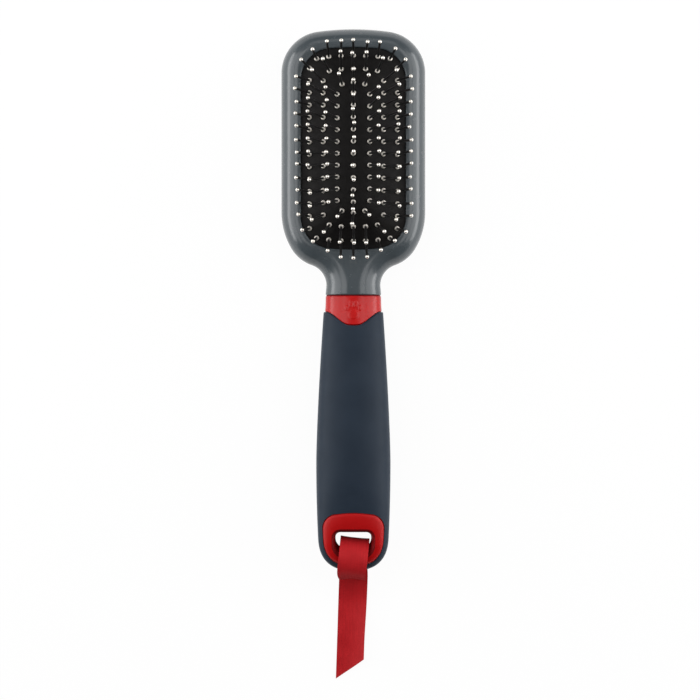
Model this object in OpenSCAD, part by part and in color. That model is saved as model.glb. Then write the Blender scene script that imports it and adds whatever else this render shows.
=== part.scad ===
// Pin brush: cushioned paddle head, sleeved handle, hanging ribbon.
// X runs across the head, +Y points to the head's far end, +Z to the pin tips.
// The origin lies under the middle of the cushion, on the flat of the head's back.

/* [Head] */
// Width of the head
head_w = 60; // [56:1:66]
// Distance from the middle of the cushion to the far end of the head
head_tip = 50.3; // [49:0.1:54]
// Radius of the gentle arch across the far end
head_arch_r = 110; // [90:5:200]
// Radius of the two far corners
head_corner = 17.5; // [14:0.5:20]
// Radius of the two corners next to the neck
shoulder_r = 16; // [15:0.5:18]
// Radius by which each side turns in ahead of these corners
shoulder_ease_r = 30; // [24:1:40]
// Turn taken at that radius
shoulder_ease = 30; // [20:1:36]
// Distance from the middle of the cushion to where the sides start to turn in
shoulder_at = 26; // [24:0.1:28]
// Thickness of the head, from its flat back to the front of its rim
head_thick = 17; // [16:0.5:20]
// Height of the widest line of the head above its back
head_mid = 8; // [7:0.5:9]
// Width of the rounding on the front of the rim
front_round = 7.4; // [5:0.1:7.6]
// Width of the rounding on the back of the head
back_round = 14.5; // [12:0.5:15]
// Depth that the flat takes off the rounded back
back_flat = 0.3; // [0.2:0.05:0.5]

/* [Neck] */
// Width of the neck where it is slimmest
neck_w = 22.5; // [21:0.1:24]
// Width of the neck where it meets the collar
neck_end_w = 23.2; // [22:0.1:24]
// Radius of the fillet between shoulder and neck
neck_fillet = 9; // [7:0.5:12]
// Distance from the middle of the cushion to where the head starts to turn into the neck
neck_start = 40; // [36:0.5:44]
// Distance from the middle of the cushion to the end of the neck
neck_end = 60.6; // [59.5:0.1:64]
// Thickness of the neck where it meets the collar
neck_t = 16.6; // [15:0.1:18]
// Height of the underside of the neck where it meets the collar
neck_lift = 0.8; // [0.4:0.1:1.5]
// Width of the rounding on the front and back of the neck
neck_round = 10; // [8:0.1:10.2]

/* [Cushion] */
// Width of the cushion's opening
pad_w = 43.3; // [40:0.1:44]
// Length of the cushion's opening
pad_l = 83.7; // [80:0.1:84.5]
// Corner radius of the cushion's opening
pad_corner = 11; // [9:0.5:13]
// Radius of the arch across the ends of the opening
pad_arch_r = 110; // [90:5:200]
// Depth of the recess below the front of the rim
recess_depth = 10.4; // [9.8:0.1:11.5]
// Depth of the flange groove's roof below the front of the rim
groove_depth = 2.4; // [2:0.1:3]
// How far the flange groove reaches outside the opening
groove_reach = 2; // [1.4:0.1:2.4]
// Thickness of the cushion's flange
flange_t = 1.6; // [1.2:0.1:2]
// Wall thickness of the cushion
pad_wall = 1.8; // [1.4:0.1:2.2]
// Height of the cushion's crown above its edge
pad_crown = 6.2; // [5:0.1:7]
// Depth of the cushion's edge below the front of the rim
pad_edge_drop = 0.8; // [0.4:0.1:1.2]
// Half width of the flat ridge along the middle of the crown
ridge_half = 1; // [0.6:0.1:2]
// Gap between the cushion and the walls of its recess
pad_gap = 0.2; // [0.1:0.05:0.3]

/* [Pins] */
// Diameter of a pin's shaft
pin_d = 1; // [0.9:0.05:1.1]
// Length of a pin above the cushion, up to the middle of its ball
pin_l = 16; // [13:0.5:18]
// Diameter of the ball on a pin
ball_d = 1.6; // [1.5:0.05:2]
// Diameter of the cup round a pin's foot
seat_d = 2.1; // [2:0.05:2.6]
// Height of the cup round a pin's foot
seat_h = 0.7; // [0.5:0.05:1]
// Diameter of the pin's head under the cushion
pin_head_d = 2.6; // [2:0.1:3]
// Thickness of the pin's head under the cushion
pin_head_t = 0.5; // [0.4:0.05:0.8]
// Gap round a pin in the cushion, and under its cup
pin_gap = 0.06; // [0.04:0.01:0.1]
// Distance of the outer ring of pins from the edge of the opening
ring_1_inset = 3.4; // [3:0.1:4]
// Distance between neighbouring rings of pins
ring_step = 5.75; // [5.5:0.05:6]
// Corner radius of the rings of pins
ring_corner = 4.5; // [3:0.5:6]
// Number of pins in the outer ring
ring_1_count = 42; // [36:2:44]
// Number of pins in the second ring
ring_2_count = 34; // [28:2:36]
// Number of pins in the third ring
ring_3_count = 26; // [20:2:28]
// Number of pins in the centre row
centre_count = 10; // [8:2:10]
// Distance from the centre row's end pins to the third ring
centre_margin = 4.45; // [4:0.05:5]
// Lean of the end pins of the centre row
centre_lean = 13; // [6:1:16]

/* [Handle] */
// Distance from the middle of the cushion to the end of the handle
handle_end = 175; // [170:0.5:185]
// Distance from the middle of the cushion to the start of the grip at its sides
grip_start = 67.7; // [66.5:0.1:70]
// Distance from the middle of the cushion to the fattest part of the grip
belly_at = 130; // [125:1:135]
// How straight the grip swells up to its belly, from 1 for a straight line
swell = 1.4; // [1.2:0.1:2]
// Length of the rounded end of the handle
end_round = 14; // [12:0.5:16]
// Width of the grip at its start
grip_start_w = 24.8; // [24.4:0.1:27]
// Width of the grip at its belly
belly_w = 30.9; // [29.5:0.1:33]
// Width of the handle where its end starts to round off
end_w = 29.4; // [28.8:0.1:32]
// Height of the grip's front at its start
start_top = 18.7; // [18.4:0.1:20]
// Height of the grip's front at its belly
belly_top = 24; // [22:0.5:26]
// Height of the handle's front where its end starts to round off
end_top = 21.4; // [20.5:0.1:23]
// Height of the grip's underside at its start
start_bottom = 0.5; // [0.3:0.1:0.7]
// Height of the grip's underside at its belly
belly_bottom = 0.1; // [0.05:0.05:0.3]
// Height of the handle's underside where its end starts to round off
end_bottom = 4.6; // [3.5:0.1:5.5]
// Wall thickness of the grip sleeve
grip_wall = 2.6; // [2:0.1:3.2]
// Step from the collar up to the grip
collar_step = 0.55; // [0.4:0.05:0.8]
// How far the collar's tongue dips into the grip
tongue = 5.7; // [4:0.1:7]
// Width of the collar's tongue where it leaves the sides
tongue_w = 24.4; // [22:0.1:24.6]
// Width of the blunt end of the tongue
tongue_flat = 4.1; // [2:0.1:6]
// How far the collar runs on under the edge of the grip
collar_lap = 2; // [1.5:0.1:3]
// Width of the tang that joins head and handle
tang_w = 13; // [11:0.5:14]
// Thickness of the tang
tang_t = 8; // [7:0.5:9]
// Corner radius of the tang
tang_corner = 2; // [1:0.5:3]
// How far the tang reaches into the core
tang_reach = 20; // [14:1:26]
// Squareness of the handle's section where its end starts to round off, from 2 for an ellipse
end_section = 3; // [2.4:0.1:3.4]
// Gap between neighbouring pieces of the handle
fit_gap = 0.08; // [0.05:0.01:0.12]

/* [Hanging hole] */
// Distance from the end of the handle to the eyelet's upper edge
eyelet_l = 24.1; // [23:0.1:25]
// Rise of the eyelet's upper edge in its middle
eyelet_arch = 0.5; // [0.3:0.1:1]
// Width of grip left round the eyelet
eyelet_margin = 2.3; // [2:0.1:2.6]
// Corner radius of the eyelet's upper edge
eyelet_corner = 6; // [4:0.5:7]
// Height of the eyelet above the grip
eyelet_proud = 0.35; // [0.2:0.05:0.5]
// Width of the hole's throat
hole_w = 14.8; // [14:0.1:16]
// Length of the hole's throat
hole_l = 6.6; // [6.4:0.1:7.5]
// Radius of the throat's upper corners
hole_upper_r = 2; // [1.5:0.1:2.2]
// Radius of the throat's lower corners
hole_lower_r = 4; // [3.5:0.1:4.1]
// Distance from the end of the handle to the throat
bar_l = 9.4; // [9:0.1:10]
// Width of the flare from the throat to the mouth of the hole
flare_w = 1.6; // [1:0.1:1.9]
// How much wider the flare is towards the end of the handle
sill = 2.6; // [2:0.1:3]
// Depth of the flare
flare_depth = 7; // [5:0.1:7.4]

/* [Ribbon] */
// Width of the ribbon
ribbon_w = 12; // [10:0.5:13]
// Thickness of the ribbon
ribbon_t = 0.7; // [0.5:0.05:0.9]
// Distance of the ribbon's middle from the handle's middle, to the left
ribbon_off = 0.5; // [0:0.1:0.6]
// Outer radius of the ribbon's loop
loop_r = 8.65; // [8.4:0.05:8.9]
// How far the loop reaches past the end of the handle
loop_over = 3.6; // [3.4:0.1:3.8]
// Turn from level down to the place where the tail leaves the loop
tail_turn = 50; // [45:1:55]
// Length over which the tail sinks to the table
drape_l = 12; // [10:0.5:15]
// Length of the tail along the table, up to the tip of its slanted cut
tail_l = 34.5; // [25:0.5:45]
// Height of the tail above the table
tail_lift = 0.35; // [0.2:0.05:0.5]
// Length that the slanted cut takes off the short side
tail_slant = 8.7; // [4:0.1:12]
// Angle by which the tail drifts to the left
tail_drift = 1.8; // [0:0.1:2.5]
// Distance from the loop to the sewn line, along the tail
stitch_at = 2.5; // [2:0.1:3]
// Number of stitches in the sewn line
stitch_count = 7; // [5:1:8]
// Length of one stitch
stitch_l = 1; // [0.7:0.1:1.1]
// Thickness of the thread
thread_t = 0.3; // [0.2:0.05:0.4]

/* [Hidden] */
$fn = 48;

grey = [0.40, 0.42, 0.42];
black = [0.11, 0.11, 0.12];
steel = [0.80, 0.80, 0.80];
red = [0.70, 0.10, 0.11];
slate = [0.20, 0.25, 0.30];
thread = [0.60, 0.08, 0.10];

// Overshoot of a cut past the face that it opens
cut_over = 1;
// Lowest height and length of the cuts that pass through the handle
cut_z = -belly_top;
cut_h = 3 * belly_top;

// Smooth step from 0 at a to 1 at b
function ease(v, a, b) = let (t = min(1, max(0, (v - a) / (b - a)))) t * t * (3 - 2 * t);
function mix(a, b, t) = a + (b - a) * t;
// Points of an arc, each with its outward direction; side is -1 on a hollow arc
function arc(c, r, from, to, steps, side = 1) = [
  for (i = [0 : steps])
    let (a = mix(from, to, i / steps))
    [c.x + r * cos(a), c.y + r * sin(a), side * cos(a), side * sin(a)]
];

// Closed skin over rings of equal count; each ring is a list of points
module loft(rings, cap_first, cap_last) {
  n = len(rings[0]);
  last = len(rings) - 1;
  sides = [
    for (k = [0 : last - 1], i = [0 : n - 1])
      let (a = k * n + i, b = k * n + (i + 1) % n)
      each [[a, b, b + n], [a, b + n, a + n]]
  ];
  ends = [
    each [for (f = cap_first) f],
    each [for (f = cap_last) [for (i = f) i + last * n]],
  ];
  polyhedron([for (r = rings) each r], concat(sides, ends), convexity = 6);
}
// Cap of a ring that is its own mirror image: strips from side to side
function strip_cap(n, flip) = [
  for (i = [0 : n / 2 - 1])
    let (a = i, b = i + 1, c = (n - i - 1) % n, d = (n - i) % n)
    for (f = [[a, b, c], [a, c, d]])
      if (f[0] != f[1] && f[1] != f[2] && f[0] != f[2])
        flip ? [f[2], f[1], f[0]] : f
];

// Head outline

// Upper right quarter of an outline with an arched end, from its tip to its side
function arched_quarter(half_w, tip, arch_r, corner) =
  let (
    drop = sqrt(pow(arch_r - corner, 2) - pow(half_w - corner, 2)),
    c = [half_w - corner, tip - arch_r + drop],
    a = atan2(drop, half_w - corner)
  )
  concat(
    arc([0, tip - arch_r], arch_r, 90, a, arch_steps),
    [for (p = arc(c, corner, a, 0, corner_steps)) if (p[3] < sin(a)) p]
  );
arch_steps = 3;
corner_steps = 10;
fillet_steps = 7;
side_c = [head_w / 2 - shoulder_ease_r, -shoulder_at];
shoulder_c = side_c + (shoulder_ease_r - shoulder_r) * [cos(shoulder_ease), -sin(shoulder_ease)];
fillet_dx = neck_w / 2 + neck_fillet - shoulder_c.x;
fillet_dy = sqrt(pow(shoulder_r + neck_fillet, 2) - pow(fillet_dx, 2));
fillet_c = shoulder_c + [fillet_dx, -fillet_dy];
shoulder_turn = atan2(fillet_dy, fillet_dx);
head_side = concat(
  arched_quarter(head_w / 2, head_tip, head_arch_r, head_corner),
  arc(side_c, shoulder_ease_r, 0, -shoulder_ease, arch_steps),
  [
    for (p = arc(shoulder_c, shoulder_r, -shoulder_ease, -shoulder_turn, corner_steps))
      if (p[2] < cos(shoulder_ease)) p
  ],
  [for (p = arc(fillet_c, neck_fillet, 180 - shoulder_turn, 180, fillet_steps, -1)) if (p[2] < 1) p],
  [[neck_end_w / 2, -neck_end, 1, 0]]
);
profile_turn = 15;
head_profile = [for (a = [-90 : profile_turn : 90]) a];

function to_neck(y) = ease(-y, neck_start, neck_end);
// Point of the head's skin: p is a point of the outline, a is the turn from back to front
function head_point(p, a) =
  let (
    t = to_neck(p[1]),
    middle = mix(head_mid, neck_lift + neck_t / 2, t),
    top = mix(head_thick, neck_lift + neck_t, t),
    bottom = mix(-back_flat, neck_lift, t),
    round_w = mix(a < 0 ? back_round : front_round, neck_round, t),
    inset = round_w * (1 - cos(a))
  )
  [
    p[0] - inset * p[2],
    p[1] - inset * p[3],
    middle + (a < 0 ? middle - bottom : top - middle) * sin(a),
  ];
function mirrored(side) = concat(
  side,
  [for (i = [len(side) - 1 : -1 : 1]) if (side[i].x != 0) [-side[i].x, side[i].y, side[i].z]]
);
module head_solid() {
  rings = [for (a = head_profile) mirrored([for (p = head_side) head_point(p, a)])];
  n = len(rings[0]);
  loft(rings, strip_cap(n, true), strip_cap(n, false));
}

// Cushion

// Closed outline of the cushion at a distance inside the edge of its opening, corner radius r
function pad_side(half_w, half_l, r) = [
  for (i = [0 : bow_steps - 1]) [(half_w - r) * i / bow_steps, half_l],
  for (i = [0 : pad_steps]) let (a = 90 - 90 * i / pad_steps)
    [half_w - r + r * cos(a), half_l - r + r * sin(a)],
];
function bowed(p) = [p.x, p.y - sign(p.y) * p.x * p.x / (2 * pad_arch_r)];
function pad_outline(half_w, half_l, r) =
  let (
    q = pad_side(half_w, half_l, r),
    right = concat(q, [for (i = [len(q) - 1 : -1 : 0]) [q[i].x, -q[i].y]])
  )
  [
    for (p = right) bowed(p),
    for (i = [len(right) - 2 : -1 : 1]) bowed([-right[i].x, right[i].y]),
  ];
bow_steps = 3;
pad_steps = 8;
// Distance from the cushion's edge to its ridge
ridge_in = pad_w / 2 - pad_gap - ridge_half;
function pad_corner_at(s) = mix(pad_corner - pad_gap, ridge_half, max(0, s) / ridge_in) - min(0, s);
function pad_ring(s, z) = [
  for (p = pad_outline(pad_w / 2 - pad_gap - s, pad_l / 2 - pad_gap - s, pad_corner_at(s)))
    [p.x, p.y, z]
];
pad_edge_z = head_thick - pad_edge_drop;
// Height of the cushion's skin at a distance s inside its edge
function dome(s) =
  let (u = s / ridge_in)
  pad_edge_z + pad_crown * (sin(90 * u) + (1 - cos(180 * u)) / 2) / 2;
// Signed distance from a point to the cushion's outline at s, below zero inside
function pad_distance(p, s) =
  let (
    r = pad_corner_at(s),
    qx = abs(p.x) - (pad_w / 2 - pad_gap - s - r),
    qy = abs(p.y) + p.x * p.x / (2 * pad_arch_r) - (pad_l / 2 - pad_gap - s - r)
  )
  norm([max(qx, 0), max(qy, 0)]) + min(max(qx, qy), 0) - r;
// Distance inside the cushion's edge at which its outline passes through a point
function pad_inset(p, low = 0, high = ridge_in, tries = 18) =
  tries == 0 ? (low + high) / 2
  : let (middle = (low + high) / 2)
    pad_distance(p, middle) < 0 ? pad_inset(p, middle, high, tries - 1)
    : pad_inset(p, low, middle, tries - 1);
function dome_at(p) = dome(pad_inset(p));
skin_steps = 9;
flange_top = head_thick - groove_depth - fit_gap;
module cushion_solid() {
  wall_s = [for (i = [0 : skin_steps]) mix(ridge_in, pad_wall, i / skin_steps)];
  skin_s = [for (i = [0 : skin_steps]) mix(0, ridge_in, i / skin_steps)];
  rings = concat(
    [for (s = wall_s) pad_ring(s, dome(s) - pad_wall)],
    [pad_ring(pad_wall, flange_top - flange_t)],
    [for (z = [flange_top - flange_t, flange_top]) pad_ring(pad_gap - groove_reach, z)],
    [pad_ring(0, flange_top)],
    [for (s = skin_s) pad_ring(s, dome(s))]
  );
  n = len(rings[0]);
  loft(rings, strip_cap(n, true), strip_cap(n, false));
}

// Pins: places and directions

// Distances along a closed outline from its first point to each of its points
function lengths(pts) =
  let (n = len(pts))
  [for (i = 0, sum = 0; i <= n; sum = sum + norm(pts[(i + 1) % n] - pts[i % n]), i = i + 1) sum];
// Points spread evenly along a closed outline
function spread(pts, count) =
  let (run = lengths(pts), n = len(pts))
  [
    for (k = [0 : count - 1])
      let (
        s = run[n] * k / count,
        i = max([for (j = [0 : n - 1]) if (run[j] <= s) j]),
        t = (s - run[i]) / (run[i + 1] - run[i])
      )
      mix(pts[i], pts[(i + 1) % n], t)
  ];
function ring_places(k, count) =
  let (inset = ring_1_inset + k * ring_step)
  spread(pad_outline(pad_w / 2 - inset, pad_l / 2 - inset, ring_corner), count);
slope_probe = 0.2;
// A pin is its place on the cushion, its lean, the direction of the lean and the lift of its cup
function square_pin(p) =
  let (
    gx = (dome_at(p + [slope_probe, 0]) - dome_at(p - [slope_probe, 0])) / (2 * slope_probe),
    gy = (dome_at(p + [0, slope_probe]) - dome_at(p - [0, slope_probe])) / (2 * slope_probe)
  )
  [[p.x, p.y, dome_at(p)], atan(norm([gx, gy])), atan2(-gy, -gx), 0];
function centre_pin(y, reach) =
  let (lean = centre_lean * y / reach)
  [[0, y, dome_at([0, y])], lean, 90, seat_d / 2 * tan(abs(lean))];
centre_reach = pad_l / 2 - ring_1_inset - 2 * ring_step - centre_margin;
centre_pitch = 2 * centre_reach / (centre_count - 1);
pins_1 = [for (p = ring_places(0, ring_1_count)) square_pin(p)];
pins_2 = [for (p = ring_places(1, ring_2_count)) square_pin(p)];
pins_3 = [for (p = ring_places(2, ring_3_count)) square_pin(p)];
pins_4 = [for (i = [0 : centre_count - 1]) centre_pin(centre_reach - i * centre_pitch, centre_reach)];
// Share of a ball that the end of its shaft fills
ball_fill = 0.35;
ball_bite = ball_d * ball_fill;
tip_fit = 0.02;
// Depth of the pins' heads, clear of the cushion where a pin leans
head_depth = pad_wall + pin_head_d / 2 * sin(centre_lean) + 2 * pin_gap;
pin_facets = 24;
cup_facets = 64;

module at_pins(pins) {
  for (p = pins)
    translate(p[0])
      rotate([0, p[1], p[2]])
        translate([0, 0, p[3] * $lifted])
          children();
}
module shafts(pins) {
  $lifted = 0;
  color(black)
    at_pins(pins) {
      translate([0, 0, -head_depth - pin_head_t])
        cylinder(d = pin_head_d, h = pin_head_t, $fn = pin_facets);
      translate([0, 0, -head_depth - pin_head_t])
        cylinder(d = pin_d, h = head_depth + pin_head_t + pin_l - ball_d / 2 + ball_bite, $fn = pin_facets);
    }
}
module balls(pins) {
  $lifted = 0;
  color(steel)
    at_pins(pins)
      translate([0, 0, pin_l])
        difference() {
          sphere(d = ball_d, $fn = pin_facets);
          translate([0, 0, -ball_d])
            cylinder(d = pin_d + 2 * tip_fit, h = ball_d / 2 + ball_bite + tip_fit, $fn = pin_facets);
        }
}
module seats(pins) {
  $lifted = 1;
  cap_r = (seat_d * seat_d / 4 + seat_h * seat_h) / (2 * seat_h);
  color(steel)
    at_pins(pins)
      translate([0, 0, pin_gap])
        rotate_extrude($fn = pin_facets)
          intersection() {
            translate([pin_d / 2 + tip_fit, 0])
              square([seat_d / 2, seat_h]);
            translate([0, seat_h - cap_r])
              circle(r = cap_r, $fn = cup_facets);
          }
}
module pin_holes(pins) {
  $lifted = 0;
  at_pins(pins)
    translate([0, 0, -head_depth])
      cylinder(d = pin_d + 2 * pin_gap, h = 2 * head_depth, $fn = pin_facets);
}
// Room for the heads of the outer pins, which reach the cushion's wall at its corners
module head_pockets(pins) {
  $lifted = 0;
  at_pins(pins)
    translate([0, 0, -head_depth - pin_head_t - pin_gap])
      cylinder(d = pin_head_d + 2 * pin_gap, h = pin_head_t + 2 * pin_gap, $fn = pin_facets);
}

// Handle

end_from = handle_end - end_round;
end_square_w = 2.6;
end_square_t = 2.6;
section_square = 2.2;
section_points = 36;
function power(v, p) = sign(v) * pow(abs(v), p);
// Value that bows from s at the grip's start through b at its belly to e near its end
function bow(d, s, b, e) =
  d < belly_at ? b + (s - b) * pow((belly_at - d) / (belly_at - grip_start), swell)
  : b + (e - b) * pow((d - belly_at) / (end_from - belly_at), 2);
function end_taper(d, grow, square) =
  let (t = max(0, d - end_from) / (end_round + grow))
  pow(1 - pow(min(t, 1), square), 1 / square);
// Half width, middle height and half thickness of the handle at distance d, grown outward
function handle_size(d, grow) =
  let (
    top = bow(d, start_top, belly_top, end_top),
    bottom = bow(d, start_bottom, belly_bottom, end_bottom)
  )
  [
    (bow(d, grip_start_w, belly_w, end_w) / 2 + grow) * end_taper(d, grow, end_square_w),
    (top + bottom) / 2,
    ((top - bottom) / 2 + grow) * end_taper(d, grow, end_square_t),
  ];
function section(d, size) =
  let (squareness = mix(section_square, end_section, ease(d, belly_at, end_from)))
  [
    for (i = [0 : section_points - 1])
      let (a = 360 * i / section_points)
      [
        size[0] * power(sin(a), 2 / squareness),
        -d,
        size[1] + size[2] * power(cos(a), 2 / squareness),
      ]
  ];
module handle_loft(places) {
  loft(places, strip_cap(section_points, true), strip_cap(section_points, false));
}
function steps(from, to, count) = [for (i = [0 : count]) mix(from, to, i / count)];
last_turn = 86;
// Places along the handle up to its rounded end
function rounded_end(grow, count) = [
  for (i = [1 : count]) end_from + (end_round + grow) * sin(last_turn * i / count)
];
body_steps = 16;
round_steps = 9;
module handle_solid(from, grow, count) {
  places = concat(steps(from, end_from, count), rounded_end(grow, round_steps));
  handle_loft([for (d = places) section(d, handle_size(d, grow))]);
}

// Collar, from the neck to its lap under the grip
collar_end = grip_start + tongue + collar_lap;
neck_size = [neck_end_w / 2, neck_lift + neck_t / 2, neck_t / 2];
function collar_size(d, grow) =
  let (t = min(1, (d - neck_end) / (grip_start - neck_end)))
  mix(neck_size + [grow, 0, grow], handle_size(d, grow - collar_step), t);
collar_steps = 5;
module collar_solid(from, to, grow) {
  handle_loft([for (d = steps(from, to, collar_steps)) section(d, collar_size(d, grow))]);
}
module rounded_bar(w, t, r, l) {
  linear_extrude(l) {
    square([w - 2 * r, t], center = true);
    square([w, t - 2 * r], center = true);
    for (x = [-1, 1], y = [-1, 1])
      translate([x * (w / 2 - r), y * (t / 2 - r)])
        circle(r = r);
  }
}
// Tang from its root in the neck, grown outward
module tang(from, to, grow) {
  translate([0, -from, neck_size[1]])
    rotate([90, 0, 0])
      rounded_bar(tang_w + 2 * grow, tang_t + 2 * grow, tang_corner + grow, to - from);
}
tang_end = collar_end + tang_reach;
tang_root = 6;

tongue_steps = 20;
function tongue_edge(x) =
  -grip_start - tongue * ease(tongue_w / 2 - abs(x), 0, (tongue_w - tongue_flat) / 2);
module tongue_cut() {
  reach = belly_w;
  curve = [for (x = steps(-tongue_w / 2, tongue_w / 2, tongue_steps)) [x, tongue_edge(x)]];
  translate([0, 0, cut_z])
    linear_extrude(cut_h)
      polygon(concat(
        [[-reach, 0], [-reach, -grip_start]], curve, [[reach, -grip_start], [reach, 0]]
      ));
}

// Hanging hole

eyelet_at = handle_end - eyelet_l;
hole_mid = handle_end - bar_l - hole_l / 2;
hole_z = handle_size(hole_mid, 0)[1];
hole_half_t = handle_size(hole_mid, 0)[2];
outline_steps = 14;
side_steps = 3;
arch_parts = 4;
// Right half of the eyelet's outline, grown outward
function eyelet_side(grow) =
  let (
    margin = eyelet_margin - grow,
    top = eyelet_at - grow,
    r = eyelet_corner,
    from = top + eyelet_arch + r,
    half_w = handle_size(from, -margin)[0]
  )
  concat(
    [for (t = steps(0, 1 - 1 / arch_parts, arch_parts - 1)) [(half_w - r) * t, -top - eyelet_arch * t * t]],
    [for (a = [90 : -profile_turn : profile_turn]) [half_w - r + r * cos(a), -from + r * sin(a)]],
    [for (d = steps(from, end_from, side_steps)) [handle_size(d, -margin)[0], -d]],
    [
      for (i = [1 : outline_steps])
        let (d = end_from + (end_round - margin) * sin(90 * i / outline_steps))
        [handle_size(d, -margin)[0], -d]
    ]
  );
module eyelet_shape(grow) {
  side = eyelet_side(grow);
  polygon(concat(side, [for (i = [len(side) - 2 : -1 : 1]) [-side[i].x, side[i].y]]));
}
// Height of the eyelet's front or back, side 1 or -1, on the middle line
function face_at(d, side) = let (size = handle_size(d, eyelet_proud)) size[1] + side * size[2];
// Height of the hole's mouth, which slopes with the face round it
function mouth_at(y, side) =
  let (from = hole_mid - hole_l / 2, run = hole_l + sill)
  mix(face_at(from, side), face_at(from + run, side), (-y - from) / run);
// Outline of the hole, grown outward, at a depth below its mouth
function hole_ring(grow, side, depth) = [
  for (q = [[1, 1, 90], [1, -1, 0], [-1, -1, -90], [-1, 1, 180]], i = [0 : corner_parts])
    let (
      r = (q[1] > 0 ? hole_upper_r : hole_lower_r) + grow,
      a = q[2] - 90 * i / corner_parts,
      drop = q[1] > 0 ? 0 : sill * grow / flare_w,
      y = -hole_mid + q[1] * (hole_l / 2 + grow - r) + r * sin(a) - drop
    )
    [q[0] * (hole_w / 2 + grow - r) + r * cos(a), y, mouth_at(y, side) - side * depth]
];
corner_parts = 6;
flare_parts = 4;
// Half of the hole on one side, with its flared mouth
module flared_hole(side) {
  rings = concat(
    [hole_ring(0, side, 2 * hole_half_t)],
    [
      for (a = steps(0, 90, flare_parts))
        hole_ring(flare_w * (1 - cos(a)), side, flare_depth * (1 - sin(a)))
    ],
    [hole_ring(flare_w, side, -hole_half_t)]
  );
  n = len(rings[0]);
  upward = side > 0 ? rings : [for (i = [len(rings) - 1 : -1 : 0]) rings[i]];
  loft(upward, [[for (i = [n - 1 : -1 : 0]) i]], [[for (i = [0 : n - 1]) i]]);
}
// Half of the eyelet on one side of the split through the handle's middle
module eyelet_half(side) {
  reach = 2 * hole_half_t;
  difference() {
    intersection() {
      translate([0, 0, hole_z + side * fit_gap / 2 - (side < 0 ? reach : 0)])
        linear_extrude(reach)
          eyelet_shape(0);
      handle_solid(eyelet_at - eyelet_corner, eyelet_proud, side_steps);
    }
    flared_hole(side);
  }
}

// Ribbon

loop_at = handle_end + loop_over - loop_r;
loop_mid_r = loop_r - ribbon_t / 2;
tail_from = [loop_at + loop_mid_r * cos(tail_turn), hole_z - loop_mid_r * sin(tail_turn)];
tail_z = tail_lift + ribbon_t / 2;
tail_flat = tail_from.x + drape_l;
tail_tip = tail_flat + tail_l;
tail_steps = 10;
tail_probe = 0.01;
loop_facets = 96;
// Middle line of the tail: distance along the handle and height
function tail_point(t) =
  let (d = mix(tail_from.x, tail_flat, t))
  [d, mix(tail_from.y, tail_z, ease(t, 0, 1))];
function tail_normal(t) =
  let (v = tail_point(min(1, t + tail_probe)) - tail_point(max(0, t - tail_probe)))
  [-v.y, v.x] / norm(v);
function tail_edge(side) = concat(
  [for (t = steps(0, 1, tail_steps)) tail_point(t) + tail_normal(t) * side * ribbon_t / 2],
  [[tail_tip, tail_z + side * ribbon_t / 2]]
);
// Extrudes a shape drawn along the handle and upward over the ribbon's width
module across(w) {
  rotate([90, 0, -90])
    linear_extrude(w, center = true)
      children();
}
module tail_strip() {
  upper = tail_edge(1);
  lower = tail_edge(-1);
  across(ribbon_w)
    polygon(concat(upper, [for (i = [len(lower) - 1 : -1 : 0]) lower[i]]));
}
// Everything past the slanted cut of the tail
module slant_cut() {
  w = ribbon_w / 2;
  slope = tail_slant / ribbon_w;
  linear_extrude(belly_top)
    polygon([
      [-ribbon_w, -tail_tip - slope * w], [ribbon_w, -tail_tip + slope * 3 * w],
      [ribbon_w, -2 * tail_tip], [-ribbon_w, -2 * tail_tip],
    ]);
}
module drifted() {
  translate([-ribbon_off, -tail_from.x, 0])
    rotate([0, 0, -tail_drift])
      translate([0, tail_from.x, 0])
        children();
}

// Pieces

module head_shell() {
  floor_z = head_thick - recess_depth;
  groove_floor = flange_top - flange_t - fit_gap;
  span = 2 * (head_tip + neck_end);
  color(grey) {
    difference() {
      head_solid();
      translate([0, 0, -head_thick])
        linear_extrude(head_thick)
          square(span, center = true);
      translate([0, 0, floor_z])
        linear_extrude(head_thick)
          polygon(pad_outline(pad_w / 2, pad_l / 2, pad_corner));
      translate([0, 0, groove_floor])
        linear_extrude(flange_t + 2 * fit_gap)
          polygon(pad_outline(pad_w / 2 + groove_reach, pad_l / 2 + groove_reach, pad_corner + groove_reach));
    }
    tang(neck_end - tang_root, tang_end, 0);
  }
}
module cushion_pad() {
  color(black)
    difference() {
      cushion_solid();
      for (pins = [pins_1, pins_2, pins_3, pins_4])
        pin_holes(pins);
      head_pockets(pins_1);
    }
}
module collar() {
  color(red)
    difference() {
      collar_solid(neck_end + fit_gap, collar_end, 0);
      tang(neck_end - cut_over, collar_end + cut_over, fit_gap);
    }
}
module handle_core() {
  from = collar_end + fit_gap;
  to = eyelet_at - fit_gap;
  inset = -grip_wall - fit_gap;
  color(slate)
    difference() {
      handle_loft([for (d = steps(from, to, body_steps)) section(d, handle_size(d, inset))]);
      tang(from - cut_over, tang_end + fit_gap, fit_gap);
    }
}
module grip() {
  color(slate)
    difference() {
      handle_solid(grip_start, 0, body_steps);
      handle_loft([
        for (d = steps(collar_end - collar_lap, eyelet_at + eyelet_corner, body_steps))
          section(d, handle_size(d, -grip_wall))
      ]);
      collar_solid(grip_start - cut_over, collar_end + fit_gap, fit_gap);
      tongue_cut();
      translate([0, 0, cut_z])
        linear_extrude(cut_h)
          eyelet_shape(fit_gap);
    }
}
module eyelet_front() {
  color(red)
    eyelet_half(1);
}
module eyelet_back() {
  color(red)
    eyelet_half(-1);
}
module ribbon() {
  color(red)
    difference() {
      union() {
        translate([-ribbon_off, -loop_at, hole_z])
          across(ribbon_w)
            difference() {
              circle(r = loop_r, $fn = loop_facets);
              circle(r = loop_r - ribbon_t, $fn = loop_facets);
            }
        drifted()
          tail_strip();
      }
      drifted()
        slant_cut();
    }
}
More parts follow.
